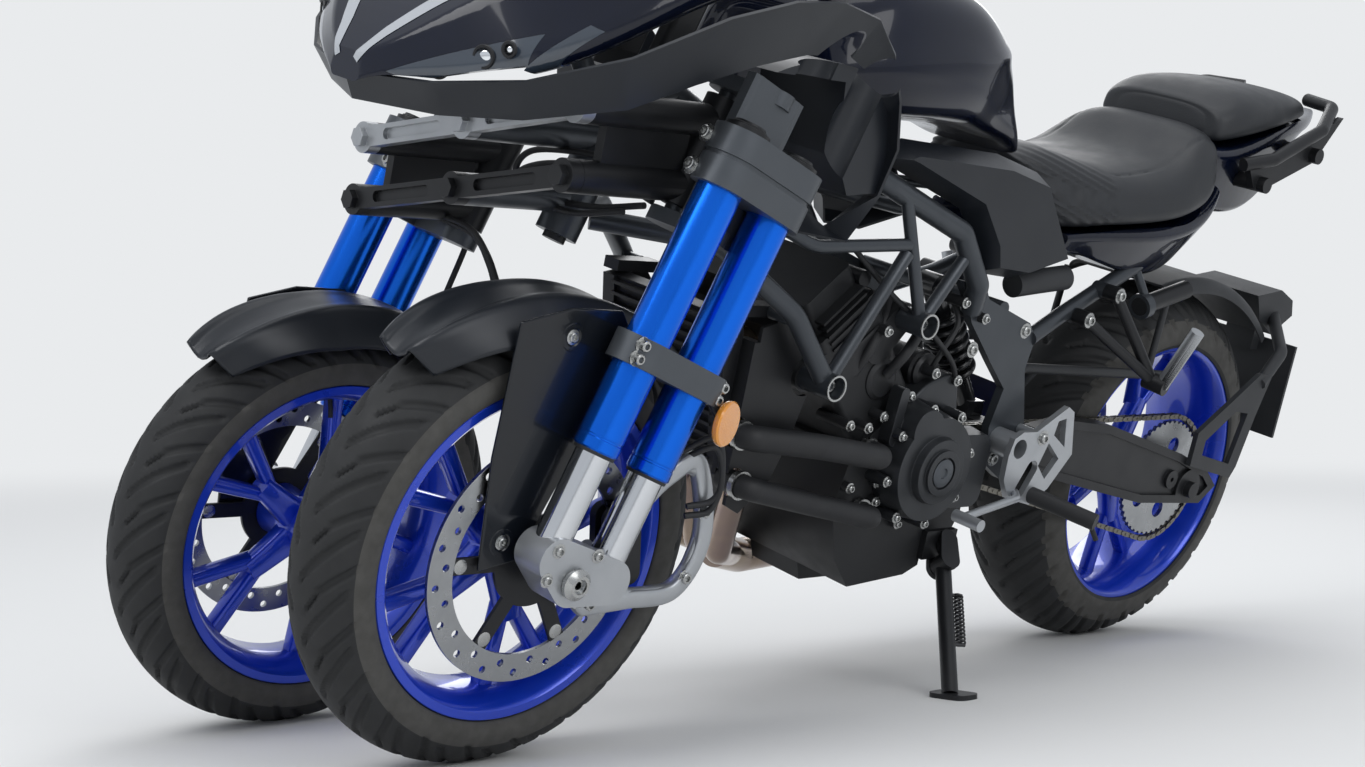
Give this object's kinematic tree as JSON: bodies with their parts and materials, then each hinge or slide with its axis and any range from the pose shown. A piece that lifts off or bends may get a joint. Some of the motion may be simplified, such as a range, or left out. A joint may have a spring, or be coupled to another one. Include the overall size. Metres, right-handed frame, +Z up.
{
  "type": "leaning three-wheeled motorcycle",
  "caption": "Motorcycle with paired leaning front wheels on cantilever forks and a driven rear wheel, parked on its side stand.",
  "frame": {"origin": "middle of the object's footprint box, on the floor", "axes": "-Y towards the front, +X to the rider's left, +Z up; stored in its parked lean of 16.8 degrees to its left"},
  "size_m": [1.0327, 2.1405, 1.3046],
  "materials": {
    "tyre": "matt rubber",
    "blue_rim": "metallic gloss",
    "blue_tube": "anodised",
    "silver_alloy": "satin paint",
    "black_alloy": "satin",
    "frame_grey": "satin",
    "engine_black": "satin",
    "engine_cover": "satin",
    "disc_steel": "ground",
    "exhaust_steel": "heat tinted",
    "matt_plastic": "grained",
    "gloss_body": "clear coated",
    "seat_cover": "grained vinyl",
    "clear_lens": "clear",
    "screen": "smoked",
    "chain_steel": "oiled"
  },
  "bodies": {
    "chassis": {"coolant_pipes": "matt_plastic", "drive_chain": "chain_steel", "engine": "engine_black", "engine_covers": "engine_cover", "exhaust": "exhaust_steel", "footrests": "silver_alloy", "fuel_tank": "gloss_body", "grab_rails": "black_alloy", "headlights": "clear_lens", "lean_arms": "silver_alloy", "lean_knuckles": "black_alloy", "main_frame": "frame_grey", "nose_fairing": "gloss_body", "pillion_seat": "seat_cover", "plate_carrier": "matt_plastic", "radiator": "matt_plastic", "rear_caliper": "black_alloy", "rear_mudguard": "matt_plastic", "rear_shock": "black_alloy", "rider_seat": "seat_cover", "side_cowls": "matt_plastic", "side_panels": "matt_plastic", "stand_bracket": "black_alloy", "swingarm": "black_alloy", "tail_cowl": "gloss_body", "windscreen": "screen"},
    "handlebar": {"handlebar": "black_alloy"},
    "side_stand": {"side_stand": "black_alloy"},
    "rear_wheel": {"rear_tyre": "tyre", "rear_rim": "blue_rim", "rear_disc": "disc_steel", "rear_sprocket": "chain_steel"},
    "left_fork": {"left_fork_tubes": "blue_tube", "left_lower_fork": "silver_alloy", "left_front_caliper": "black_alloy", "left_fork_clamps": "black_alloy", "left_mudguard": "matt_plastic"},
    "left_front_wheel": {"left_front_tyre": "tyre", "left_front_rim": "blue_rim", "left_front_disc": "disc_steel"},
    "right_fork": {"right_fork_tubes": "blue_tube", "right_lower_fork": "silver_alloy", "right_front_caliper": "black_alloy", "right_fork_clamps": "black_alloy", "right_mudguard": "matt_plastic"},
    "right_front_wheel": {"right_front_tyre": "tyre", "right_front_rim": "blue_rim", "right_front_disc": "disc_steel"}
  },
  "joints": [
    {"name": "handlebar_steer", "type": "hinge", "parent": "chassis", "child": "handlebar", "pos_m": [-0.02499, -0.59629, 0.72247], "axis": [0.2716, 0.342, 0.8996], "range_deg": [-25, 25]},
    {"name": "left_fork_steer", "type": "hinge", "parent": "chassis", "child": "left_fork", "pos_m": [0.18001, -0.59629, 0.72247], "axis": [0.2716, 0.342, 0.8996], "range_deg": [-25, 25]},
    {"name": "right_fork_steer", "type": "hinge", "parent": "chassis", "child": "right_fork", "pos_m": [-0.22999, -0.59629, 0.72247], "axis": [0.2716, 0.342, 0.8996], "range_deg": [-25, 25]},
    {"name": "left_front_wheel_spin", "type": "hinge", "parent": "left_fork", "child": "left_front_wheel", "pos_m": [0.042, -0.796, 0.26534], "axis": [0.9573, 0, -0.289], "continuous": true},
    {"name": "right_front_wheel_spin", "type": "hinge", "parent": "right_fork", "child": "right_front_wheel", "pos_m": [-0.368, -0.796, 0.26534], "axis": [0.9573, 0, -0.289], "continuous": true},
    {"name": "rear_wheel_spin", "type": "hinge", "parent": "chassis", "child": "rear_wheel", "pos_m": [-0.14932, 0.714, 0.31065], "axis": [0.9573, 0, -0.289], "continuous": true},
    {"name": "side_stand_fold", "type": "hinge", "parent": "chassis", "child": "side_stand", "pos_m": [0.00259, 0.071, 0.17722], "axis": [0.8474, -0.1748, 0.5013], "range_deg": [0, 112]}
  ],
  "couplings": [
    {"joint": "left_fork_steer", "follows": "handlebar_steer", "ratio": 1},
    {"joint": "right_fork_steer", "follows": "handlebar_steer", "ratio": 1}
  ]
}
